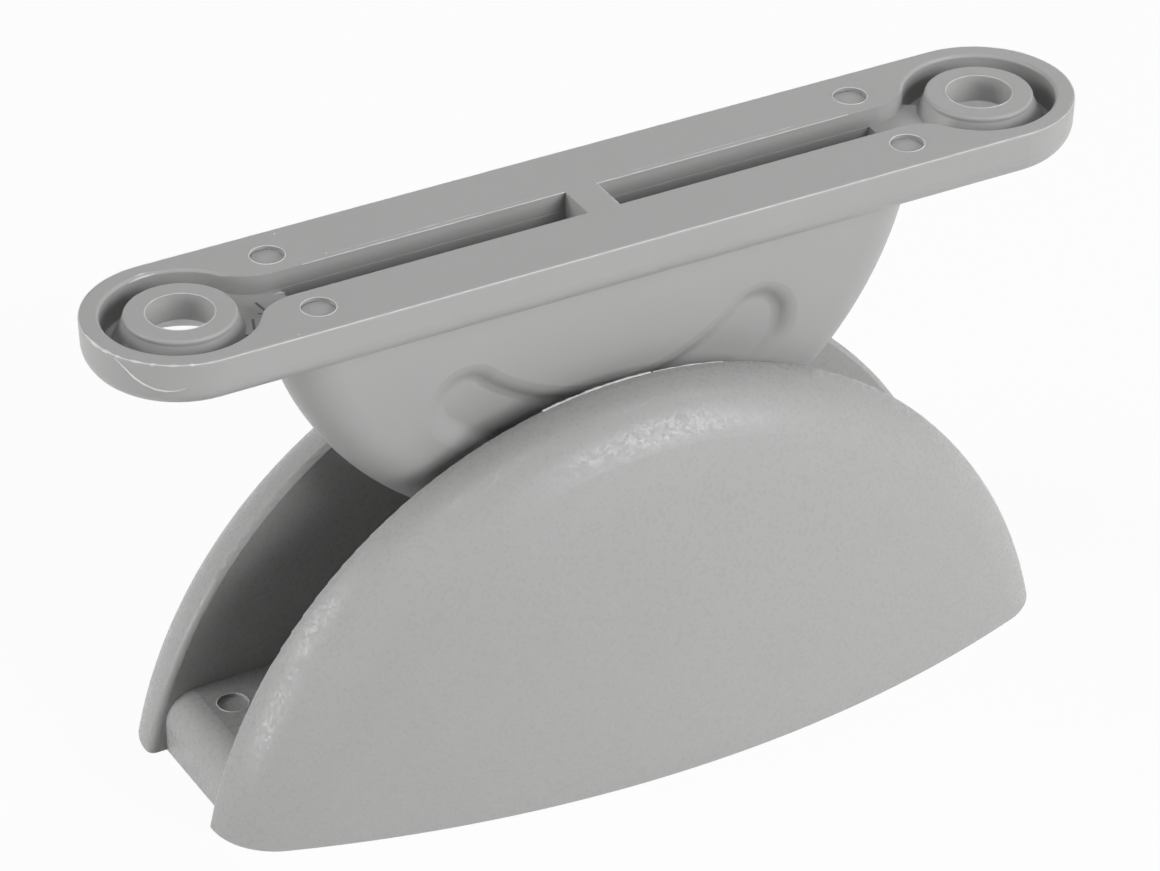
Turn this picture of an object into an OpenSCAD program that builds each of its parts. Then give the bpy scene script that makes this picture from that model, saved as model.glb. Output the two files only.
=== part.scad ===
// Snap-in door catch in two grey mouldings: a plate with a half-round tongue, and a receiver with two domed jaws.
// The receiver's mounting face lies on z = 0, the plate runs along X, and the tongue drops in along Z.

/* [Plate] */
// Length over the round ends
plate_l = 80; // [76:1:100]
// Width of the back face, which is also the diameter of the round ends
plate_w = 14.3; // [13.4:0.1:18]
// Thickness of the plate
plate_t = 4; // [3.4:0.1:6]
// How far the side wall leans in from the back face to the underside
plate_draft = 0.15; // [0.05:0.05:0.5]
// Rounding of the lower edge
plate_edge_r = 2.2; // [0.6:0.1:2.4]

/* [Screw bosses] */
// Screw hole through each boss
hole_d = 5; // [4:0.1:5.6]
// Wall of the boss ring round the hole
boss_wall = 1.55; // [1.2:0.05:1.8]
// Height of the straight part of the ring
boss_ring_h = 0.4; // [0.4:0.1:0.8]
// How far the foot of the boss spreads beyond the ring
boss_flare = 1.1; // [0.3:0.05:1.15]
// Moat between the ring and the plate's rim
moat_gap = 1.65; // [1.4:0.05:2]
// Depth of the moat
moat_depth = 2.7; // [2.2:0.1:2.9]
// Depth of the neck that leads from a moat into its slot
neck_depth = 1.5; // [1.1:0.1:2]
// Diameter of the countersink on the underside
sink_d = 9.4; // [7:0.1:9.5]
// Depth of the countersink
sink_depth = 1.85; // [1:0.05:2]
// Rounding of the edges of the plate, the bosses and the moats on the back face
edge_r = 0.25; // [0.1:0.05:0.35]

/* [Slots] */
// Width of the two slots at the back face
slot_w = 3.4; // [2.6:0.1:4]
// Rounding where a slot opens into the moat
neck_r = 4; // [2:0.5:5]
// Rib that parts the two slots
rib_t = 2.6; // [1.4:0.1:4]
// Wall between a slot and the tongue's round edge
slot_wall = 2.2; // [1.4:0.1:3.5]
// How much a slot narrows on its way down
slot_draft = 0.8; // [0.1:0.1:1.2]

/* [Tongue] */
// Radius of the half-round tongue
tongue_r = 26.7; // [25:0.1:28]
// Reach of the tongue below the back face
tongue_reach = 25.4; // [24:0.1:28]
// Thickness of the tongue
tongue_t = 7; // [6:0.1:8]
// Rounding of the tongue's edge
tongue_edge_r = 3.3; // [1:0.1:3.4]

/* [Catch groove] */
// Radius of the groove's middle line round the tongue's axis
groove_r = 18; // [16:0.1:19]
// Width of the groove's floor
groove_w = 3.8; // [3:0.1:4.4]
// Depth of the groove
groove_depth = 0.8; // [0.5:0.1:0.8]
// Rounding of the groove's lip
lip_r = 2.2; // [1.2:0.1:2.6]
// Rounding between the groove's floor and its wall
cove_r = 1.4; // [0.8:0.1:1.6]
// Angle from straight down to the middle of each round end
groove_sweep = 42; // [32:1:48]

/* [Jaws] */
// Radius of the jaws' rim
jaw_r = 35.3; // [34:0.1:40]
// Height of the jaws above the mounting face
jaw_h = 28; // [27:0.1:31]
// Width over both jaws in the middle of the mounting face
body_w = 31.7; // [30:0.1:40]
// Radius of the crowned outer faces
crown_r = 95; // [70:1:140]
// Rounding between an outer face and the rim
jaw_edge_r = 5.3; // [3:0.1:5.8]
// Rounding of the rim's inner edge, where the tongue slides in
lead_r = 0.6; // [0.2:0.05:0.8]
// Wall of the hollow jaws
shell_t = 2.2; // [1.6:0.1:2.8]
// Wall between a hollow and the channel
channel_wall = 2; // [1.9:0.1:2.6]

/* [Channel] */
// Clearance beside the tongue at the channel's floor
channel_gap = 1.4; // [1:0.1:2]
// How far each wall leans out from the floor to the top of the jaws
channel_draft = 0.1; // [0.05:0.05:0.3]
// Height of the floor above the mounting face
floor_z = 4.7; // [3.6:0.1:6]
// Thickness of the floor
floor_t = 2.4; // [1.8:0.1:3]
// How far the floor's ends stand back from the ends of the jaws
floor_inset = 1.4; // [0.6:0.1:3]
// Rounding of the floor's ends
floor_edge_r = 2.5; // [1:0.1:3.4]
// Air below the tongue when it is latched
tongue_air = 10.3; // [7:0.1:11]

/* [Receiver screws] */
// Distance between the two screw holes in the floor
fix_pitch = 40; // [30:1:46]
// Screw hole in the floor
fix_d = 5; // [4:0.1:5.6]
// Wall of the pillar round each screw hole
fix_wall = 2.6; // [1.4:0.1:2.8]

/* [Snap ridges] */
// Rounding of the ridge on each channel wall
ridge_r = 1.2; // [1.1:0.05:1.3]
// Clearance between a ridge and the face of the tongue
ridge_gap = 0.1; // [0.05:0.05:0.2]
// Angle from straight down to each end of a ridge
ridge_sweep = 24; // [10:1:26]

/* [Ejector marks] */
// Diameter of the round marks on the plate's back face
mark_d = 2.6; // [1.5:0.1:3]
// Depth of all the marks
mark_depth = 0.3; // [0.05:0.05:0.4]
// Place of the plate's marks along it
mark_x = 24.1; // [20:0.1:25]
// Place of the plate's marks to each side of its middle line
mark_y = 4.05; // [3.6:0.05:5]
// Diameter of the marks at the ends of the channel's floor
floor_mark_d = 2.4; // [1.5:0.1:2.6]
// Place of the floor's marks along it
floor_mark_x = 29; // [27:0.1:29]
// Place of the floor's marks to each side of its middle line
floor_mark_y = 1.9; // [1.5:0.1:3]

/* [Hidden] */
$fn = 128;
EPS = 0.01;
FAR = 200;
PLASTIC = "#a3a3a1";
// How far a rounding overshoots the faces it joins, so that they meet at a slight angle
OVER = 0.005;
// The same for the lip of the groove and for the rounding at its floor
LIP_RISE = 0.02;
COVE_LAP = 0.01;
// How much wider the groove's round ends are than its run, so that the two meet at a clear angle
END_GROW = 0.05;

hole_x = plate_l/2 - plate_w/2;
boss_r = hole_d/2 + boss_wall;
moat_r = boss_r + moat_gap;
lip_sink = lip_r - groove_depth - LIP_RISE;
lip_x = groove_w/2 + sqrt(pow(lip_r, 2) - pow(lip_sink, 2));
cove_y = cove_r - COVE_LAP;
cove_x = lip_x - sqrt(pow(lip_r + cove_y, 2) - pow(lip_sink + cove_y, 2));
neck_y = slot_w/2 + neck_r;
neck_x = hole_x - sqrt(pow(moat_r + neck_r, 2) - pow(neck_y, 2));

back_z = floor_z + tongue_air + tongue_reach;
under_z = back_z - plate_t;
tongue_z = back_z - tongue_reach + tongue_r;
slot_r = tongue_r - slot_wall;

jaw_z = jaw_h - jaw_r;
crown_y = body_w/2 - sqrt(pow(crown_r, 2) - pow(jaw_z, 2));
edge_y = crown_y + sqrt(pow(crown_r - jaw_edge_r, 2) - pow(jaw_r - jaw_edge_r, 2));
jaw_x = sqrt(pow(jaw_r, 2) - pow(jaw_z, 2));
wall_y = tongue_t/2 + channel_gap;
floor_x = jaw_x - floor_inset;

// Turns a half-section, with its radius on x and its width on y, about a line along Y at the given height
module disc_about_y(height) {
    translate([0, 0, height]) rotate([-90, 0, 0]) rotate_extrude() children();
}

// Sweeps a half-section about the same kind of line, through an angle to each side of straight down
module arc_about_y(height, sweep) {
    translate([0, 0, height]) rotate([-90, 0, 0]) rotate([0, 0, 90 - sweep])
        rotate_extrude(angle = 2*sweep) children();
}

module both_faces() {
    children();
    mirror([0, 1, 0]) children();
}

module both_ends() {
    children();
    mirror([1, 0, 0]) children();
}

// What rounding takes off a square edge that lies at the origin, with the solid to the left and below
module edge_cut() {
    translate([-edge_r, -edge_r]) difference() {
        square(2*edge_r);
        circle(edge_r + OVER);
    }
}

// Half-section of the plate from its middle line out, with the leaning side and the rounded edges
module plate_half_section() {
    lean = atan(plate_draft/plate_t);
    edge_z = plate_edge_r - plate_t;
    edge_x = plate_w/2 + (edge_z*sin(lean) - plate_edge_r)/cos(lean);
    side_h = plate_edge_r*sin(lean) - edge_z;
    difference() {
        intersection() {
            polygon([[0, 0], [plate_w/2, 0], [plate_w/2 - plate_draft, -plate_t], [0, -plate_t]]);
            union() {
                translate([0, -side_h]) square([plate_w/2, side_h]);
                translate([0, -plate_t]) square([edge_x, plate_t]);
                translate([edge_x, edge_z]) circle(plate_edge_r + OVER);
            }
        }
        translate([plate_w/2, 0]) edge_cut();
    }
}

module plate_blank() {
    translate([0, 0, back_z]) {
        both_ends() translate([hole_x, 0, 0]) rotate([0, 0, -90])
            rotate_extrude(angle = 180) plate_half_section();
        both_faces() rotate([90, 0, 90]) translate([0, 0, -hole_x])
            linear_extrude(2*hole_x) plate_half_section();
    }
}

module tongue_half_section() {
    flat = tongue_t/2 - tongue_edge_r;
    translate([0, -tongue_t/2]) square([tongue_r - tongue_edge_r, tongue_t]);
    translate([0, -flat]) square([tongue_r, 2*flat]);
    for (side = [-1, 1]) translate([tongue_r - tongue_edge_r, side*flat]) circle(tongue_edge_r);
}

module tongue_blank() {
    intersection() {
        disc_about_y(tongue_z) tongue_half_section();
        translate([-FAR/2, -FAR/2, 0]) cube([FAR, FAR, back_z - moat_depth - EPS]);
    }
}

module neck_wedge() {
    polygon([[hole_x, 0], [neck_x, neck_y], [neck_x, -neck_y]]);
}

// Outline of the moat round one boss, which stops at the neck
module moat_outline() {
    difference() {
        translate([hole_x, 0]) circle(moat_r);
        neck_wedge();
    }
}

// Outline of the moat and of the neck that leads from it into the slot
module pocket_outline() {
    translate([hole_x, 0]) circle(moat_r);
    difference() {
        neck_wedge();
        for (side = [-1, 1]) translate([neck_x, side*neck_y]) circle(neck_r + OVER);
    }
    translate([rib_t/2, -slot_w/2]) square([hole_x - rib_t/2, slot_w]);
}

module boss() {
    rotate_extrude() difference() {
        polygon([
            [0, EPS],
            [boss_r, EPS],
            [boss_r, -boss_ring_h],
            [boss_r + boss_flare, -moat_depth - EPS],
            [0, -moat_depth - EPS],
        ]);
        translate([boss_r, 0]) edge_cut();
    }
}

module pocket() {
    translate([0, 0, back_z]) difference() {
        union() {
            translate([0, 0, -neck_depth]) linear_extrude(neck_depth + EPS) pocket_outline();
            translate([0, 0, -moat_depth]) linear_extrude(moat_depth + EPS) moat_outline();
        }
        translate([hole_x, 0, 0]) boss();
    }
}

// Rounds the moat's outer edge, and runs out along the fillets of the neck
module moat_lip() {
    translate([hole_x, 0, back_z])
        rotate_extrude() translate([moat_r, 0]) mirror([1, 0]) edge_cut();
}

// Deep slot inside the tongue, narrowing downwards, on one side of the rib
module deep_slot() {
    drop = slot_r - (tongue_z - back_z);
    intersection() {
        disc_about_y(tongue_z) translate([0, -slot_w]) square([slot_r, 2*slot_w]);
        rotate([90, 0, 90]) translate([0, back_z, rib_t/2]) linear_extrude(FAR) polygon([
            [-slot_w/2, EPS],
            [slot_w/2, EPS],
            [slot_w/2 - slot_draft/2, -drop - 1],
            [slot_draft/2 - slot_w/2, -drop - 1],
        ]);
    }
}

module screw_hole() {
    translate([hole_x, 0, under_z - 1]) cylinder(h = plate_t + 2, d = hole_d);
    translate([hole_x, 0, under_z - EPS]) cylinder(h = sink_depth + EPS, d1 = sink_d, d2 = hole_d);
}

// Cut across the groove from its middle line out: a flat floor, a coved corner, then a wall that rounds over
module groove_half_section(grow) {
    lip = [lip_x + grow, -lip_sink];
    cove = [cove_x + grow, cove_y];
    difference() {
        square([lip_x + grow, groove_depth + 1]);
        translate(lip) circle(lip_r);
        difference() {
            polygon([[cove_x + grow, 0], lip, cove]);
            translate(cove) circle(cove_r);
        }
    }
}

module groove_cut() {
    translate([0, tongue_t/2 - groove_depth, tongue_z]) rotate([-90, 0, 0]) {
        rotate([0, 0, 90 - groove_sweep]) rotate_extrude(angle = 2*groove_sweep) translate([groove_r, 0]) {
            groove_half_section(0);
            mirror([1, 0]) groove_half_section(0);
        }
        both_ends() rotate([0, 0, 90 - groove_sweep]) translate([groove_r, 0, 0])
            rotate_extrude() groove_half_section(END_GROW);
    }
}

module mark(place, d) {
    translate(place) translate([0, 0, -mark_depth]) cylinder(h = mark_depth + EPS, d = d);
}

module tongue_plate() {
    color(PLASTIC) difference() {
        union() {
            plate_blank();
            tongue_blank();
        }
        both_ends() {
            pocket();
            moat_lip();
            deep_slot();
            screw_hole();
            both_faces() mark([mark_x, mark_y, back_z], mark_d);
        }
        both_faces() groove_cut();
    }
}

// Half-section of one jaw, or of the hollow inside it when it is drawn smaller all round
module jaw_half_section(inset, from_y, lead) {
    edge_c = [jaw_r - jaw_edge_r, edge_y];
    edge_dir = [jaw_r - jaw_edge_r, edge_y - crown_y]/(crown_r - jaw_edge_r);
    difference() {
        intersection() {
            translate([0, crown_y]) circle(crown_r - inset, $fn = 4*$fn);
            translate([0, from_y]) square([jaw_r - inset, body_w]);
        }
        difference() {
            polygon([
                edge_c,
                [jaw_r + 1, edge_y],
                [jaw_r + 1, body_w],
                edge_c + 2*jaw_edge_r*edge_dir,
            ]);
            translate(edge_c) circle(jaw_edge_r - inset + OVER);
        }
        if (lead > 0) difference() {
            translate([jaw_r - lead, from_y - 1]) square([lead + 1, lead + 1]);
            translate([jaw_r - lead, from_y + lead]) circle(lead + OVER);
        }
    }
}

module jaw() {
    difference() {
        intersection() {
            disc_about_y(jaw_z) jaw_half_section(0, wall_y, lead_r);
            translate([-FAR/2, 0, 0]) cube([FAR, FAR, FAR]);
        }
        intersection() {
            disc_about_y(jaw_z) jaw_half_section(shell_t, wall_y + channel_wall, 0);
            translate([-FAR/2, 0, -1]) cube([FAR, FAR, FAR]);
        }
        rotate([90, 0, 90]) translate([0, 0, -FAR/2]) linear_extrude(FAR) polygon([
            [0, -1],
            [wall_y, -1],
            [wall_y, floor_z],
            [wall_y + channel_draft, jaw_h],
            [wall_y + channel_draft, jaw_h + 1],
            [0, jaw_h + 1],
        ]);
    }
}

// Floor of the channel seen from the side, with its rounded ends
module floor_outline() {
    flat_x = floor_x - floor_edge_r;
    side_h = floor_z - floor_edge_r;
    intersection() {
        translate([-floor_x, 0]) square([2*floor_x, floor_z]);
        union() {
            translate([-flat_x, 0]) square([2*flat_x, floor_z]);
            translate([-floor_x, 0]) square([2*floor_x, side_h]);
            for (side = [-1, 1]) translate([side*flat_x, side_h]) circle(floor_edge_r + OVER);
        }
    }
}

module channel_floor() {
    overlap = channel_wall/4;
    hollow_x = floor_x - shell_t;
    difference() {
        rotate([90, 0, 0]) linear_extrude(2*(wall_y + overlap), center = true) floor_outline();
        translate([-hollow_x, -wall_y, -1]) cube([2*hollow_x, 2*wall_y, floor_z - floor_t + 1]);
    }
    both_ends() translate([fix_pitch/2, 0, 0]) cylinder(h = floor_z - floor_t/2, d = fix_d + 2*fix_wall);
}

module snap_ridge() {
    arc_about_y(tongue_z, ridge_sweep)
        translate([groove_r, tongue_t/2 + ridge_gap + ridge_r]) circle(ridge_r);
}

module jaw_receiver() {
    color(PLASTIC) difference() {
        union() {
            both_faces() {
                jaw();
                snap_ridge();
            }
            channel_floor();
        }
        both_ends() {
            translate([fix_pitch/2, 0, -1]) cylinder(h = floor_z + 2, d = fix_d);
            both_faces() mark([floor_mark_x, floor_mark_y, floor_z], floor_mark_d);
        }
    }
}

tongue_plate();
jaw_receiver();
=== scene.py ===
# Looks of the two grey mouldings of a snap-in caravan door catch:
# the satin tongue plate and the grained receiver.
import math

import bpy
from mathutils import Matrix, Vector


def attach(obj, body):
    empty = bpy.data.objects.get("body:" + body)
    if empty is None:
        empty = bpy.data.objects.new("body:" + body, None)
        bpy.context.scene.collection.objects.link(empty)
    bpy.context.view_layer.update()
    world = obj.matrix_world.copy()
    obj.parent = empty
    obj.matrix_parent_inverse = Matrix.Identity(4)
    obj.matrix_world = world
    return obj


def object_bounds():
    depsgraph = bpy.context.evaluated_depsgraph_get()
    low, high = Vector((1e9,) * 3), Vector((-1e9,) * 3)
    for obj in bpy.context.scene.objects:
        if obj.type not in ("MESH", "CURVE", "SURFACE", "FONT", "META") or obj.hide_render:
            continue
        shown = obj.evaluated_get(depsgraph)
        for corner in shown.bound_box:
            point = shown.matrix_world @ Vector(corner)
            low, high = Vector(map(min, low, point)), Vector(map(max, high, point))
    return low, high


MM = 0.001

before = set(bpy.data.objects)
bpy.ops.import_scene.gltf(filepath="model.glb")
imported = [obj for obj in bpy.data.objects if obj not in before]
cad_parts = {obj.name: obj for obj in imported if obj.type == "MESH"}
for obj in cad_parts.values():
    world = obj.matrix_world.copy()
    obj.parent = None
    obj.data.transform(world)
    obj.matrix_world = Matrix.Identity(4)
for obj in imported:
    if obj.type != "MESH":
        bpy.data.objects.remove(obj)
cad_low, cad_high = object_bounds()

# Camera, as the photograph was taken
PHOTO_W = 1160
FOCAL_PX = 5765.0
SENSOR_MM = 36
CAMERA_AZIMUTH = -29.023
CAMERA_ELEVATION = 32.430
CAMERA_ROLL = 0.17
CAMERA_DISTANCE = 421.06*MM
CAMERA_TARGET = Vector((-2.695, -3.116, 22.710))*MM

# Places on the mouldings that the threads, the painted edge highlight and the soft shoulder follow, in
# millimetres
BACK_Z = 40.4
PLATE_HALF_W = 7.15
HOLE_X = 32.85
HOLE_R = 2.5
MOAT_R = 5.7
EDGE_R = 0.25
NECK_FLOOR_Z = 38.9
SLOT_Y = 1.7
SLOT_FROM = 1.3
SLOT_MID = 12.0
SLOT_TO = 22.5
MARK_X = 24.1
MARK_Y = 4.05
MARK_R = 1.3
MARK_DEEP = 0.3
JAW_Z = -7.3
FACE_R = 31.2
RIM_LIP_R = 35.24
RIM_LIP_Y = 5.25
FLOOR_Z = 4.7
FLOOR_MARK_X = 29
FLOOR_MARK_Y = 1.9
FLOOR_MARK_R = 1.2

# Finishes: the plate is polished satin, the jaws have a spark-eroded grain
GREY = (0.380, 0.380, 0.377, 1)
# Grey of the painted highlight on the edges of the plate's back face, and the darker tone of the flash
EDGE_HIGHLIGHT_AND_FLASH_GREY = (0.50, 0.50, 0.495, 1)
# Palest grey of flash and specks; on the pale threads along the plate's edges it also paints their highlights
FLASH_GREY = (0.80, 0.80, 0.79, 1)
# Near-black of the tool cuts: painted shade in the cuts
TICK_SHADE_GREY = (0.04, 0.04, 0.04, 1)
# Near-black of the painted shade in the marks' recesses
MARK_SHADE_GREY = (0.03, 0.03, 0.03, 1)
GLOSS = 0.35
MOTTLE_SIZE = 6*MM
SPECK_SPACING = 3.2*MM
SPECK_RADIUS = 0.022
# Width of the broken edges, and the gain and the depth range of their painted highlight
EDGE_WIDTH = 0.12*MM
EDGE_GAIN = 1.6
EDGE_FADE_FROM = 0.6
EDGE_FADE_TO = 0.2
SHOULDER_SPREAD = 2.8*MM
SHOULDER_HEIGHT = 0.3*MM
TICK_SHADE_SHARE = 0.9

# Light
FLOOR_SIZE = 4.0
FLOOR_COLOUR = (0.82, 0.82, 0.82, 1)
FLOOR_SHADOW = 0.06
SURROUND_COLOUR = (0.0, 0.0, 0.0, 1)
LAMP_DISTANCE = 0.9
# The key only lights the plastic and the sheen only shines on it
# Each lamp: azimuth, elevation, width and height in metres, power in watts
LAMPS = {
    "key": (29, 22, 0.6, 0.5, 7.5),
    "top_left": (-60, 75, 0.4, 0.4, 1.15),
    "top_right": (100, 62, 0.4, 0.4, 1.25),
    "left_low": (-95, 8, 0.5, 0.25, 2.65),
    "left_back": (-110, 28, 0.5, 0.3, 2.98),
    "right_back": (130, 35, 0.6, 0.5, 0.45),
    "sheen": (32, 38, 0.55, 0.45, 4.6),
}
SHEEN_TINT = (0.95, 0.97, 1.0)


def direction(azimuth, elevation):
    """Unit vector from the object into the room: azimuth 0 is in front and 90 to the right."""
    a, e = math.radians(azimuth), math.radians(elevation)
    return Vector((math.sin(a)*math.cos(e), -math.cos(a)*math.cos(e), math.sin(e)))


def add_camera():
    back = direction(CAMERA_AZIMUTH, CAMERA_ELEVATION)
    right = Vector((0, 0, 1)).cross(back).normalized()
    up = back.cross(right)
    turn = math.radians(CAMERA_ROLL)
    across = math.cos(turn)*right + math.sin(turn)*up
    upward = math.cos(turn)*up - math.sin(turn)*right
    data = bpy.data.cameras.new("camera")
    data.sensor_width = SENSOR_MM
    data.lens = FOCAL_PX*SENSOR_MM/PHOTO_W
    data.clip_start = 0.01
    camera = bpy.data.objects.new("camera", data)
    turned = Matrix((across, upward, back)).transposed().to_4x4()
    camera.matrix_world = Matrix.Translation(CAMERA_TARGET + back*CAMERA_DISTANCE) @ turned
    bpy.context.scene.collection.objects.link(camera)
    bpy.context.scene.camera = camera


class Nodes:
    """Adds and wires the nodes of one tree."""

    def __init__(self, tree):
        self.tree = tree
        tree.nodes.clear()

    def add(self, kind, **settings):
        node = self.tree.nodes.new(kind)
        for name, value in settings.items():
            setattr(node, name, value)
        return node

    def link(self, source, target):
        self.tree.links.new(source, target)

    def math(self, operation, a, b=None, clamp=False):
        """A Math node on two sockets or plain numbers."""
        node = self.add("ShaderNodeMath", operation=operation, use_clamp=clamp)
        for socket, value in zip(node.inputs, (a, b)):
            if isinstance(value, (int, float)):
                socket.default_value = value
            elif value is not None:
                self.link(value, socket)
        return node.outputs["Value"]

    def vector(self, operation, a, b=None, scale=None):
        """A Vector Math node on two sockets or plain vectors."""
        node = self.add("ShaderNodeVectorMath", operation=operation)
        for socket, value in zip(node.inputs, (a, b)):
            if isinstance(value, tuple):
                socket.default_value = value
            elif value is not None:
                self.link(value, socket)
        if isinstance(scale, (int, float)):
            node.inputs["Scale"].default_value = scale
        elif scale is not None:
            self.link(scale, node.inputs["Scale"])
        return node.outputs["Value" if operation in ("LENGTH", "DOT_PRODUCT") else "Vector"]

    def blend(self, fac, a, b):
        """A colour that goes from a to b."""
        node = self.add("ShaderNodeMix", data_type="RGBA")
        for socket, value in ((node.inputs[0], fac), (node.inputs[6], a), (node.inputs[7], b)):
            if isinstance(value, (int, float, tuple)):
                socket.default_value = value
            else:
                self.link(value, socket)
        return node.outputs[2]


def new_group(name, inputs, outputs):
    """A shader node group with named sockets: its nodes, its input node and its output node."""
    group = bpy.data.node_groups.new(name, "ShaderNodeTree")
    for label, kind in inputs:
        group.interface.new_socket(label, in_out="INPUT", socket_type=kind)
    for label, kind in outputs:
        group.interface.new_socket(label, in_out="OUTPUT", socket_type=kind)
    n = Nodes(group)
    return group, n, n.add("NodeGroupInput"), n.add("NodeGroupOutput")


def make_moulded_grain():
    """Fine grain of a mould wall, broad mottling, and glints that differ by cell."""
    group, n, given, result = new_group(
        "moulded_grain",
        [("Grain Scale", "NodeSocketFloat"), ("Mottle Scale", "NodeSocketFloat")],
        [("Height", "NodeSocketFloat"), ("Mottle", "NodeSocketFloat"), ("Glint", "NodeSocketFloat")])
    place = n.add("ShaderNodeTexCoord").outputs["Object"]
    grain = n.add("ShaderNodeTexNoise")
    grain.inputs["Detail"].default_value = 3
    grain.inputs["Roughness"].default_value = 0.6
    mottle = n.add("ShaderNodeTexNoise")
    mottle.inputs["Detail"].default_value = 4
    cells = n.add("ShaderNodeTexVoronoi", feature="F1")
    n.link(place, grain.inputs["Vector"])
    n.link(place, mottle.inputs["Vector"])
    n.link(place, cells.inputs["Vector"])
    n.link(given.outputs["Grain Scale"], grain.inputs["Scale"])
    n.link(given.outputs["Mottle Scale"], mottle.inputs["Scale"])
    n.link(given.outputs["Grain Scale"], cells.inputs["Scale"])
    n.link(grain.outputs["Fac"], result.inputs["Height"])
    n.link(mottle.outputs["Fac"], result.inputs["Mottle"])
    shade = n.add("ShaderNodeSeparateColor")
    n.link(cells.outputs["Color"], shade.inputs["Color"])
    n.link(shade.outputs["Red"], result.inputs["Glint"])
    return group


def make_painted_edge_highlight():
    """Slightly broken edges: their normal, and a mask along them for a painted highlight."""
    group, n, given, result = new_group(
        "painted_edge_highlight",
        [("Width", "NodeSocketFloat"), ("Gain", "NodeSocketFloat")],
        [("Edge", "NodeSocketFloat"), ("Normal", "NodeSocketVector")])
    bevel = n.add("ShaderNodeBevel", samples=4)
    n.link(given.outputs["Width"], bevel.inputs["Radius"])
    flat = n.add("ShaderNodeNewGeometry")
    same = n.vector("DOT_PRODUCT", bevel.outputs["Normal"], flat.outputs["Normal"])
    turn = n.math("SUBTRACT", 1.0, same)
    edge = n.math("MULTIPLY", turn, given.outputs["Gain"], clamp=True)
    n.link(edge, result.inputs["Edge"])
    n.link(bevel.outputs["Normal"], result.inputs["Normal"])
    return group


def make_pale_specks():
    """Sparse pale specks of dust and moulding crumbs."""
    group, n, given, result = new_group(
        "pale_specks",
        [("Spacing Scale", "NodeSocketFloat"), ("Speck Radius", "NodeSocketFloat"),
         ("Share", "NodeSocketFloat")],
        [("Speck", "NodeSocketFloat")])
    place = n.add("ShaderNodeTexCoord").outputs["Object"]
    cells = n.add("ShaderNodeTexVoronoi", feature="F1")
    n.link(place, cells.inputs["Vector"])
    n.link(given.outputs["Spacing Scale"], cells.inputs["Scale"])
    near = n.math("LESS_THAN", cells.outputs["Distance"], given.outputs["Speck Radius"])
    shade = n.add("ShaderNodeSeparateColor")
    n.link(cells.outputs["Color"], shade.inputs["Color"])
    chosen = n.math("LESS_THAN", shade.outputs["Red"], given.outputs["Share"])
    n.link(n.math("MULTIPLY", near, chosen), result.inputs["Speck"])
    return group


def make_tool_tick():
    """A short cut that the mould maker's tool left, from one place to another, as a mask for the painted
    shade in it.
    """
    group, n, given, result = new_group(
        "tool_tick",
        [("Start", "NodeSocketVector"), ("End", "NodeSocketVector"), ("Half Width", "NodeSocketFloat")],
        [("Tick", "NodeSocketFloat")])
    place = n.add("ShaderNodeTexCoord").outputs["Object"]
    along = n.vector("SUBTRACT", given.outputs["End"], given.outputs["Start"])
    reach = n.vector("SUBTRACT", place, given.outputs["Start"])
    length = n.vector("DOT_PRODUCT", along, along)
    part = n.math("DIVIDE", n.vector("DOT_PRODUCT", reach, along), length, clamp=True)
    off = n.vector("SUBTRACT", reach, n.vector("SCALE", along, scale=part))
    share = n.math("DIVIDE", n.vector("LENGTH", off), given.outputs["Half Width"])
    n.link(n.math("SUBTRACT", 1.6, share, clamp=True), result.inputs["Tick"])
    return group


def make_soft_shoulder():
    """Height that lets the round edge of a jaw run softly into its outer face."""
    group, n, given, result = new_group(
        "soft_shoulder",
        [("Middle", "NodeSocketFloat"), ("Spread", "NodeSocketFloat")],
        [("Height", "NodeSocketFloat")])
    place = n.add("ShaderNodeTexCoord").outputs["Object"]
    from_axis = n.vector("SUBTRACT", place, (0, 0, JAW_Z*MM))
    radial = n.vector("LENGTH", n.vector("MULTIPLY", from_axis, (1, 0, 1)))
    fall = n.add("ShaderNodeMapRange", interpolation_type="SMOOTHSTEP")
    n.link(radial, fall.inputs["Value"])
    n.link(n.math("SUBTRACT", given.outputs["Middle"], given.outputs["Spread"]), fall.inputs["From Min"])
    n.link(n.math("ADD", given.outputs["Middle"], given.outputs["Spread"]), fall.inputs["From Max"])
    fall.inputs["To Min"].default_value = 1
    fall.inputs["To Max"].default_value = 0
    across = n.vector("MULTIPLY", place, (0, 1, 0))
    outward = n.vector("DOT_PRODUCT", across, n.add("ShaderNodeNewGeometry").outputs["Normal"])
    outer = n.math("GREATER_THAN", outward, 0.0)
    n.link(n.math("MULTIPLY", fall.outputs["Result"], outer), result.inputs["Height"])
    return group


MOULDED_GRAIN = make_moulded_grain()
PAINTED_EDGE_HIGHLIGHT = make_painted_edge_highlight()
SOFT_SHOULDER = make_soft_shoulder()
PALE_SPECKS = make_pale_specks()
TOOL_TICK = make_tool_tick()

# Three tool cuts on the floor of the left neck, coloured near black: painted shade in the cuts
TICKS = [
    ((-26.64, 0.72, NECK_FLOOR_Z), (-26.50, -0.83, NECK_FLOOR_Z)),
    ((-27.08, -0.66, NECK_FLOOR_Z), (-26.59, -1.01, NECK_FLOOR_Z)),
    ((-27.83, -1.17, NECK_FLOOR_Z), (-28.33, -2.42, NECK_FLOOR_Z)),
]
TICK_HALF_W = 0.09

# Chipped stretches of the edge round the plate's left end, as pale threads that also paint the edge's
# highlight: where each starts and ends, and how thick it is
EDGE_CHIPS_AND_HIGHLIGHTS = [
    (184, 192, 0.13),
    (194, 203, 0.12),
    (205, 209, 0.10),
    (214, 224, 0.09),
    (227, 231, 0.11),
    (236, 246, 0.08),
    (249, 253, 0.10),
    (258, 268, 0.08),
]


def use_group(n, group, **values):
    node = n.add("ShaderNodeGroup", node_tree=group)
    for name, value in values.items():
        node.inputs[name.replace("_", " ").title()].default_value = value
    return node


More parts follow.
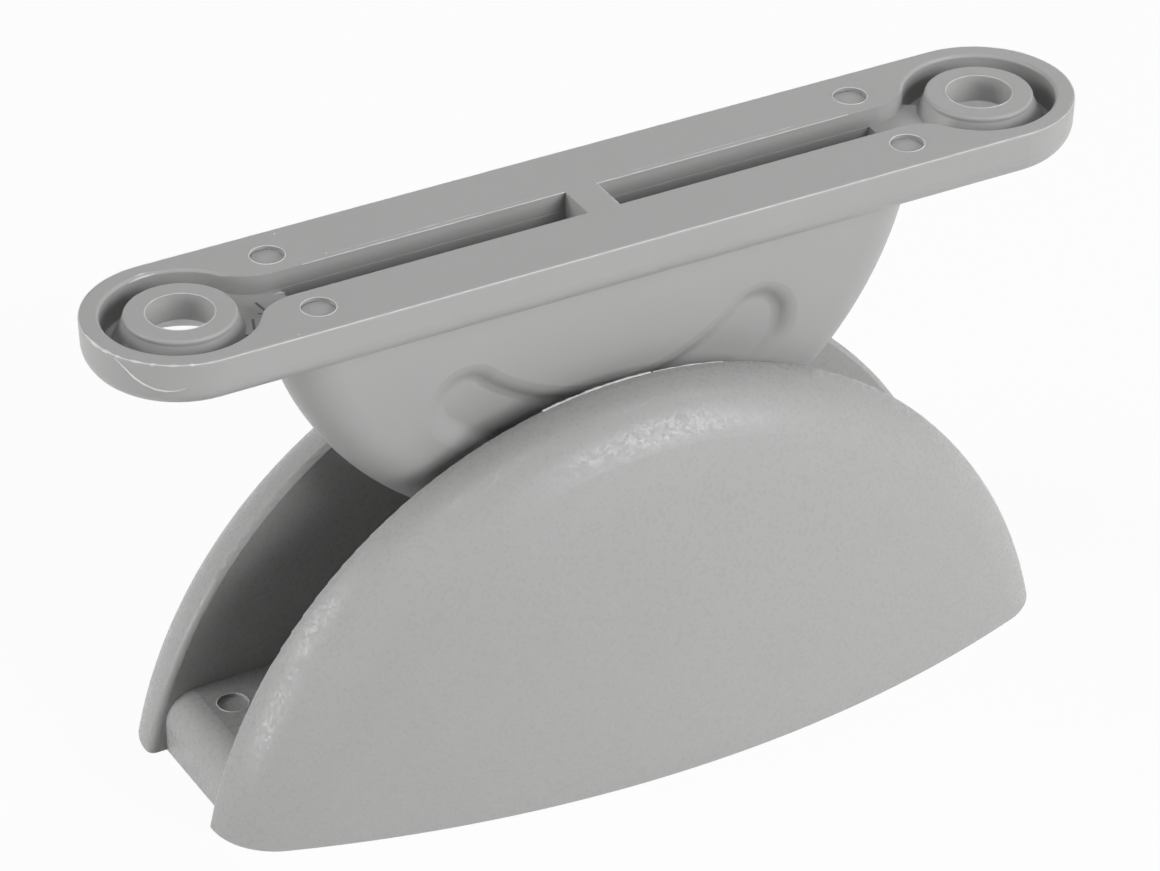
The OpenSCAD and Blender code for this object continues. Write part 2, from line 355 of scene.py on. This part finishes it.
def moulded_plastic(
        name, roughness, glint, grain_size, grain_height, mottle, speck_share, edge_highlight, ticks=()):
    material = bpy.data.materials.new(name)
    material.use_nodes = True
    n = Nodes(material.node_tree)
    out = n.add("ShaderNodeOutputMaterial")
    shader = n.add("ShaderNodeBsdfPrincipled")
    shader.inputs["Specular IOR Level"].default_value = GLOSS
    grain = use_group(n, MOULDED_GRAIN, grain_scale=1/grain_size, mottle_scale=1/MOTTLE_SIZE)
    speck = use_group(
        n, PALE_SPECKS,
        spacing_scale=1/SPECK_SPACING, speck_radius=SPECK_RADIUS, share=speck_share)

    tone = n.math("MULTIPLY_ADD", grain.outputs["Mottle"], mottle)
    n.tree.nodes[-1].inputs[2].default_value = 1 - mottle/2
    colour = n.vector("SCALE", GREY[:3], scale=tone)
    # Edges of the back face lightened towards pale grey: a painted highlight that fades out below the face
    if edge_highlight:
        edge = use_group(n, PAINTED_EDGE_HIGHLIGHT, width=EDGE_WIDTH, gain=EDGE_GAIN)
        height = n.add("ShaderNodeSeparateXYZ")
        n.link(n.add("ShaderNodeTexCoord").outputs["Object"], height.inputs["Vector"])
        near_back = n.add("ShaderNodeMapRange")
        near_back.inputs["From Min"].default_value = (BACK_Z - EDGE_FADE_FROM)*MM
        near_back.inputs["From Max"].default_value = (BACK_Z - EDGE_FADE_TO)*MM
        near_back.inputs["To Max"].default_value = edge_highlight
        n.link(height.outputs["Z"], near_back.inputs["Value"])
        light = n.math("MULTIPLY", edge.outputs["Edge"], near_back.outputs["Result"])
        colour = n.blend(light, colour, EDGE_HIGHLIGHT_AND_FLASH_GREY)
    colour = n.blend(speck.outputs["Speck"], colour, FLASH_GREY)
    # Tool cuts turned near black: painted shade in the cuts
    for start, end in ticks:
        tick = use_group(
            n, TOOL_TICK,
            start=tuple(v*MM for v in start), end=tuple(v*MM for v in end), half_width=TICK_HALF_W*MM)
        colour = n.blend(n.math("MULTIPLY", tick.outputs["Tick"], TICK_SHADE_SHARE), colour, TICK_SHADE_GREY)
    n.link(colour, shader.inputs["Base Color"])

    rough = n.math("MULTIPLY_ADD", grain.outputs["Glint"], glint)
    n.tree.nodes[-1].inputs[2].default_value = roughness - glint/2
    n.link(rough, shader.inputs["Roughness"])

    bump = n.add("ShaderNodeBump")
    bump.inputs["Distance"].default_value = grain_height
    n.link(grain.outputs["Height"], bump.inputs["Height"])
    if edge_highlight:
        n.link(edge.outputs["Normal"], bump.inputs["Normal"])
    else:
        shoulder = use_group(n, SOFT_SHOULDER, middle=FACE_R*MM, spread=SHOULDER_SPREAD)
        soft = n.add("ShaderNodeBump")
        soft.inputs["Distance"].default_value = SHOULDER_HEIGHT
        n.link(shoulder.outputs["Height"], soft.inputs["Height"])
        n.link(soft.outputs["Normal"], bump.inputs["Normal"])
    n.link(bump.outputs["Normal"], shader.inputs["Normal"])
    n.link(shader.outputs["BSDF"], out.inputs["Surface"])
    return material


def flash_plastic():
    """Thin flash lets light through, so that it looks paler than the moulding."""
    material = bpy.data.materials.new("flash_plastic")
    material.use_nodes = True
    n = Nodes(material.node_tree)
    out = n.add("ShaderNodeOutputMaterial")
    shader = n.add("ShaderNodeBsdfPrincipled")
    shader.inputs["Roughness"].default_value = 0.4
    grain = use_group(n, MOULDED_GRAIN, grain_scale=1/(0.3*MM), mottle_scale=1/(1.5*MM))
    n.link(n.blend(grain.outputs["Mottle"], EDGE_HIGHLIGHT_AND_FLASH_GREY, FLASH_GREY), shader.inputs["Base Color"])
    n.link(shader.outputs["BSDF"], out.inputs["Surface"])
    return material


def painted_mark_shade():
    """Near-black plastic for the painted shade in the corners of the marks."""
    material = bpy.data.materials.new("painted_mark_shade")
    material.use_nodes = True
    n = Nodes(material.node_tree)
    out = n.add("ShaderNodeOutputMaterial")
    shader = n.add("ShaderNodeBsdfPrincipled")
    shader.inputs["Roughness"].default_value = 0.7
    grain = use_group(n, MOULDED_GRAIN, grain_scale=1/(0.3*MM), mottle_scale=1/(0.8*MM))
    n.link(n.blend(grain.outputs["Mottle"], MARK_SHADE_GREY, GREY), shader.inputs["Base Color"])
    n.link(shader.outputs["BSDF"], out.inputs["Surface"])
    return material


def dress(node, material):
    """Gives a moulding its finish."""
    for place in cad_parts[node].material_slots:
        place.material = material


# Threads of plastic that follow edges and marks: flash, pale edges that also paint highlights, and dark
# threads of painted shade
def make_thread_tree():
    """Turns lines with a thickness at each point into ragged threads."""
    tree = bpy.data.node_groups.new("moulding_threads", "GeometryNodeTree")
    tree.interface.new_socket("Lines", in_out="INPUT", socket_type="NodeSocketGeometry")
    for label in ("Step", "Wander", "Wander Scale", "Ragged", "Ragged Scale", "Seed"):
        tree.interface.new_socket(label, in_out="INPUT", socket_type="NodeSocketFloat")
    tree.interface.new_socket("Sides", in_out="INPUT", socket_type="NodeSocketInt")
    tree.interface.new_socket("Plastic", in_out="INPUT", socket_type="NodeSocketMaterial")
    tree.interface.new_socket("Threads", in_out="OUTPUT", socket_type="NodeSocketGeometry")
    n = Nodes(tree)
    given = n.add("NodeGroupInput")
    result = n.add("NodeGroupOutput")

    lines = n.add("GeometryNodeMeshToCurve")
    n.link(given.outputs["Lines"], lines.inputs["Mesh"])
    steps = n.add("GeometryNodeResampleCurve", mode="LENGTH")
    n.link(lines.outputs["Curve"], steps.inputs["Curve"])
    n.link(given.outputs["Step"], steps.inputs["Length"])

    drift = n.add("ShaderNodeTexNoise", noise_dimensions="4D")
    n.link(given.outputs["Wander Scale"], drift.inputs["Scale"])
    n.link(given.outputs["Seed"], drift.inputs["W"])
    centred = n.vector("SUBTRACT", drift.outputs["Color"], (0.5, 0.5, 0.5))
    moved = n.add("GeometryNodeSetPosition")
    n.link(steps.outputs["Curve"], moved.inputs["Geometry"])
    n.link(n.vector("SCALE", centred, scale=given.outputs["Wander"]), moved.inputs["Offset"])

    tear = n.add("ShaderNodeTexNoise", noise_dimensions="4D")
    tear.inputs["Detail"].default_value = 3
    n.link(given.outputs["Ragged Scale"], tear.inputs["Scale"])
    n.link(given.outputs["Seed"], tear.inputs["W"])
    swing = n.math("MULTIPLY", n.math("SUBTRACT", tear.outputs["Fac"], 0.5), given.outputs["Ragged"])
    share = n.math("MAXIMUM", n.math("ADD", swing, 1.0), 0.08)
    thick = n.add("GeometryNodeInputNamedAttribute", data_type="FLOAT")
    thick.inputs["Name"].default_value = "thickness"
    profile = n.add("GeometryNodeCurvePrimitiveCircle", mode="RADIUS")
    profile.inputs["Radius"].default_value = 1.0
    n.link(given.outputs["Sides"], profile.inputs["Resolution"])
    thread = n.add("GeometryNodeCurveToMesh")
    thread.inputs["Fill Caps"].default_value = True
    n.link(moved.outputs["Geometry"], thread.inputs["Curve"])
    n.link(profile.outputs["Curve"], thread.inputs["Profile Curve"])
    n.link(n.math("MULTIPLY", thick.outputs["Attribute"], share), thread.inputs["Scale"])

    smooth = n.add("GeometryNodeSetShadeSmooth")
    n.link(thread.outputs["Mesh"], smooth.inputs["Geometry"])
    real = n.add("GeometryNodeRealizeInstances")
    n.link(smooth.outputs["Geometry"], real.inputs["Geometry"])
    finish = n.add("GeometryNodeSetMaterial")
    n.link(real.outputs["Geometry"], finish.inputs["Geometry"])
    n.link(given.outputs["Plastic"], finish.inputs["Material"])
    n.link(finish.outputs["Geometry"], result.inputs["Threads"])
    return tree


def socket_id(tree, label):
    return next(item.identifier for item in tree.interface.items_tree
                if item.name == label and item.in_out == "INPUT")


class Lines:
    """Lines in millimetres, each with a thickness at its points, which a thread tree turns into threads."""

    def __init__(self):
        self.points, self.edges, self.thickness = [], [], []

    def run(self, points, radius, closed=False, taper=False):
        """One line. A tapered one thins out towards both ends."""
        first = len(self.points)
        last = len(points) - 1
        for i, point in enumerate(points):
            self.points.append(Vector(point)*MM)
            swell = math.sin(math.pi*(0.08 + 0.84*i/last)) if taper else 1.0
            self.thickness.append(radius*swell*MM)
            if i:
                self.edges.append((first + i - 1, first + i))
        if closed:
            self.edges.append((first + last, first))

    def ring(self, x, y, z, r, radius, count=56):
        turns = [2*math.pi*i/count for i in range(count)]
        self.run([(x + r*math.cos(a), y + r*math.sin(a), z) for a in turns], radius, closed=True)

    def threads(self, name, tree, plastic, body, slot, **sizes):
        mesh = bpy.data.meshes.new(name)
        mesh.from_pydata(self.points, self.edges, [])
        thickness = mesh.attributes.new("thickness", "FLOAT", "POINT")
        for item, value in zip(thickness.data, self.thickness):
            item.value = value
        piece = bpy.data.objects.new(name, mesh)
        bpy.context.scene.collection.objects.link(piece)
        tool = piece.modifiers.new("flash", "NODES")
        tool.node_group = tree
        for label, value in sizes.items():
            tool[socket_id(tree, label.replace("_", " ").title())] = value
        tool[socket_id(tree, "Plastic")] = plastic
        graph = bpy.context.evaluated_depsgraph_get()
        made = bpy.data.meshes.new_from_object(piece.evaluated_get(graph), depsgraph=graph)
        piece.modifiers.remove(tool)
        piece.data = made
        made.name = name
        if not made.materials:
            made.materials.append(plastic)
        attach(piece, body)
        return piece


def arc(radius, y, middle_z, start, end, count):
    """Points on an arc about a line along Y, by the angle from straight up."""
    turns = [math.radians(start + (end - start)*i/(count - 1)) for i in range(count)]
    return [(radius*math.sin(a), y, middle_z + radius*math.cos(a)) for a in turns]


def end_arc(radius, z, start, end, count):
    """Points on an arc about the hole in the plate's left end, by the angle from the right."""
    turns = [math.radians(start + (end - start)*i/(count - 1)) for i in range(count)]
    return [(radius*math.cos(a) - HOLE_X, radius*math.sin(a), z) for a in turns]


def plate_edge(inset, z, count=60):
    """Outline of the plate's round-ended edge."""
    r = PLATE_HALF_W - inset
    points = []
    for end in (1, -1):
        for i in range(count + 1):
            a = math.pi*(i/count - 0.5) + (0 if end > 0 else math.pi)
            points.append((end*HOLE_X + r*math.cos(a), r*math.sin(a), z))
    return points


# Flaws on the plate, as points in millimetres
TORN_END = [
    (-39.93, 0.9, BACK_Z - 0.06), (-39.90, 0.2, BACK_Z - 0.07), (-39.84, -0.9, BACK_Z - 0.05),
    (-39.72, -1.6, BACK_Z - 0.08), (-39.55, -2.3, BACK_Z - 0.06),
]
SCORE = [
    (-39.33, -3.01, 40.20), (-39.09, -3.44, 39.88), (-38.84, -3.84, 39.54), (-38.48, -4.32, 39.04),
    (-38.00, -4.86, 38.63), (-37.43, -5.38, 38.34), (-36.81, -5.83, 38.24), (-36.11, -6.26, 38.30),
    (-35.61, -6.52, 38.49),
]
# Pale slivers on the moat's lip and a pale fleck at the neck wall's foot: burrs whose paleness also paints
# the highlights there
MOAT_SLIVER = [(-34.26, 5.43, 40.28), (-33.2, 5.66, 40.28), (-32.14, 5.67, 40.28)]
LIP_SLIVER = [(-33.90, 5.84, 40.36), (-33.1, 5.93, 40.37), (-32.38, 5.93, 40.37)]
NECK_FLECK = [(-25.02, 1.15, NECK_FLOOR_Z), (-24.62, 1.08, NECK_FLOOR_Z + 0.05), (-24.22, 1.02, NECK_FLOOR_Z)]
BACK_SPECK = [(-20.40, 2.20, BACK_Z), (-20.28, 2.24, BACK_Z)]
EDGE_SPECK = [(-27.01, -6.74, BACK_Z - 0.02), (-26.89, -6.74, BACK_Z - 0.02)]
BROKEN_EDGE = EDGE_R*(1 - math.sqrt(0.5))
SECOND_LINE = 0.41


def slot_line(end, y, sunk):
    """Points along the back edge of one slot."""
    return [(end*x, y, BACK_Z - sunk) for x in (SLOT_FROM, SLOT_MID, SLOT_TO)]


# Pale threads along the plate's edges, rings and slot edges: flash whose paleness also paints the highlights
# of these edges
def add_plate_flash_and_highlights(tree, plastic):
    lines = Lines()
    lines.run(plate_edge(BROKEN_EDGE, BACK_Z - BROKEN_EDGE), 0.035, closed=True)
    for end in (-1, 1):
        lines.ring(end*HOLE_X, 0, BACK_Z - 0.01, HOLE_R, 0.035)
        for side in (-1, 1):
            lines.ring(end*MARK_X, side*MARK_Y, BACK_Z - 0.005, MARK_R, 0.04)
        lines.run(slot_line(end, SLOT_Y, 0.02)[::2], 0.04)
        lines.run(slot_line(end, SLOT_Y + SECOND_LINE, 0.01), 0.024, taper=True)
    lines.run(TORN_END, 0.10, taper=True)
    lines.run(SCORE, 0.085, taper=True)
    lines.run(end_arc(MOAT_R - 0.05, BACK_Z - 0.02, 202, 205, 4), 0.055, taper=True)
    lines.run([(SLOT_FROM, SLOT_Y, BACK_Z - 0.02), (SLOT_FROM, -SLOT_Y, BACK_Z - 0.02)], 0.035)
    lines.run(MOAT_SLIVER, 0.10, taper=True)
    lines.run(LIP_SLIVER, 0.08, taper=True)
    lines.run(NECK_FLECK, 0.12, taper=True)
    lines.run(BACK_SPECK, 0.05)
    lines.run(EDGE_SPECK, 0.06)
    return lines.threads(
        "plate_flash_and_highlights", tree, plastic, "tongue", "tongue_plastic",
        step=0.18*MM, wander=0.05*MM, wander_scale=1/(1.1*MM),
        ragged=1.1, ragged_scale=1/(0.7*MM), seed=3.0, sides=6)


def add_edge_chips_and_highlights(tree, plastic):
    lines = Lines()
    for start, end, radius in EDGE_CHIPS_AND_HIGHLIGHTS:
        chip = end_arc(PLATE_HALF_W - BROKEN_EDGE, BACK_Z - BROKEN_EDGE, start, end, 8)
        lines.run(chip, radius, taper=True)
    return lines.threads(
        "edge_chips_and_highlights", tree, plastic, "tongue", "tongue_plastic",
        step=0.12*MM, wander=0.16*MM, wander_scale=1/(0.6*MM),
        ragged=1.6, ragged_scale=1/(0.4*MM), seed=5.0, sides=6)


# Painted shade: dark threads round the back left side of each mark's recess, in millimetres and degrees
MARK_SHADE_INSET = 0.07
MARK_SHADE_RADIUS = 0.075
MARK_SHADE_FROM = 60
MARK_SHADE_STEP = 10
MARK_SHADE_STEPS = 18


def add_painted_mark_shade(tree, plastic):
    lines = Lines()
    r = MARK_R - MARK_SHADE_INSET
    turns = [math.radians(MARK_SHADE_FROM + MARK_SHADE_STEP*i) for i in range(MARK_SHADE_STEPS)]
    for end in (-1, 1):
        for side in (-1, 1):
            x, y = end*MARK_X, side*MARK_Y
            corner = [(x + r*math.cos(a), y + r*math.sin(a), BACK_Z - MARK_DEEP) for a in turns]
            lines.run(corner, MARK_SHADE_RADIUS, taper=True)
    return lines.threads(
        "mark_shade_threads", tree, plastic, "tongue", "tongue_plastic",
        step=0.15*MM, wander=0.03*MM, wander_scale=1/(0.8*MM),
        ragged=0.8, ragged_scale=1/(0.5*MM), seed=11.0, sides=6)


def add_rim_flash(tree, plastic):
    lines = Lines()
    lines.run(arc(RIM_LIP_R, -RIM_LIP_Y, JAW_Z, -11.4, 3.2, 60), 0.12)
    lines.run(arc(RIM_LIP_R, -RIM_LIP_Y, JAW_Z, 3.5, 13.2, 40), 0.07)
    for end in (-1, 1):
        for side in (-1, 1):
            lines.ring(end*FLOOR_MARK_X, side*FLOOR_MARK_Y, FLOOR_Z - 0.005, FLOOR_MARK_R, 0.045)
    return lines.threads(
        "rim_flash", tree, plastic, "receiver", "receiver_plastic",
        step=0.15*MM, wander=0.10*MM, wander_scale=1/(1.0*MM),
        ragged=1.5, ragged_scale=1/(0.6*MM), seed=8.0, sides=6)


def seen_or_mirrored(n):
    """One value that is 1 on the rays that show the backdrop itself, straight or mirrored."""
    path = n.add("ShaderNodeLightPath")
    mirrored = n.math("MAXIMUM", path.outputs["Is Glossy Ray"], path.outputs["Is Transmission Ray"])
    return n.math("MAXIMUM", path.outputs["Is Camera Ray"], mirrored)


def floor_paper():
    material = bpy.data.materials.new("floor_paper")
    material.use_nodes = True
    n = Nodes(material.node_tree)
    out = n.add("ShaderNodeOutputMaterial")
    paper = n.add("ShaderNodeBsdfDiffuse")
    paper.inputs["Color"].default_value = FLOOR_COLOUR
    white = n.add("ShaderNodeEmission")
    shown = n.add("ShaderNodeMixShader")
    shown.inputs["Fac"].default_value = FLOOR_SHADOW
    mix = n.add("ShaderNodeMixShader")
    n.link(white.outputs["Emission"], shown.inputs[1])
    n.link(paper.outputs["BSDF"], shown.inputs[2])
    n.link(seen_or_mirrored(n), mix.inputs["Fac"])
    n.link(paper.outputs["BSDF"], mix.inputs[1])
    n.link(shown.outputs["Shader"], mix.inputs[2])
    n.link(mix.outputs["Shader"], out.inputs["Surface"])
    return material


def add_floor():
    half = FLOOR_SIZE/2
    mesh = bpy.data.meshes.new("floor")
    corners = [(-half, -half, 0), (half, -half, 0), (half, half, 0), (-half, half, 0)]
    mesh.from_pydata(corners, [], [(0, 1, 2, 3)])
    mesh.materials.append(floor_paper())
    floor = bpy.data.objects.new("floor", mesh)
    floor.location.z = cad_low.z
    bpy.context.scene.collection.objects.link(floor)


def add_softbox(name, azimuth, elevation, width, height, power):
    data = bpy.data.lights.new(name, "AREA")
    data.shape = "RECTANGLE"
    data.size = width
    data.size_y = height
    data.energy = power
    lamp = bpy.data.objects.new(name, data)
    towards = direction(azimuth, elevation)
    lamp.location = (cad_low + cad_high)/2 + towards*LAMP_DISTANCE
    lamp.rotation_mode = "QUATERNION"
    lamp.rotation_quaternion = (-towards).to_track_quat("-Z", "Y")
    bpy.context.scene.collection.objects.link(lamp)


def add_surround():
    world = bpy.data.worlds.new("studio")
    world.use_nodes = True
    bpy.context.scene.world = world
    n = Nodes(world.node_tree)
    out = n.add("ShaderNodeOutputWorld")
    room = n.add("ShaderNodeBackground")
    room.inputs["Color"].default_value = SURROUND_COLOUR
    white = n.add("ShaderNodeBackground")
    white.inputs["Color"].default_value = (1, 1, 1, 1)
    mix = n.add("ShaderNodeMixShader")
    n.link(seen_or_mirrored(n), mix.inputs["Fac"])
    n.link(room.outputs["Background"], mix.inputs[1])
    n.link(white.outputs["Background"], mix.inputs[2])
    n.link(mix.outputs["Shader"], out.inputs["Surface"])


add_camera()
tongue_plastic = moulded_plastic(
    "satin_tongue_plastic", roughness=0.42, glint=0.08, grain_size=0.35*MM, grain_height=0.004*MM,
    mottle=0.05, speck_share=0.10, edge_highlight=0.55, ticks=TICKS)
receiver_plastic = moulded_plastic(
    "grained_receiver_plastic", roughness=0.38, glint=0.40, grain_size=0.26*MM, grain_height=0.010*MM,
    mottle=0.04, speck_share=0.03, edge_highlight=0)
dress("tongue_plate", tongue_plastic)
dress("jaw_receiver", receiver_plastic)
thread_tree = make_thread_tree()
flash = flash_plastic()
add_plate_flash_and_highlights(thread_tree, flash)
add_edge_chips_and_highlights(thread_tree, flash)
# Dark threads in the marks paint the shade of their recesses
add_painted_mark_shade(thread_tree, painted_mark_shade())
add_rim_flash(thread_tree, flash)
add_floor()
add_surround()
for lamp_name, lamp in LAMPS.items():
    add_softbox(lamp_name, *lamp)
bpy.data.objects["sheen"].visible_diffuse = False
bpy.data.objects["sheen"].data.color = SHEEN_TINT
bpy.data.objects["key"].visible_glossy = False
bpy.context.scene.view_settings.view_transform = "Standard"
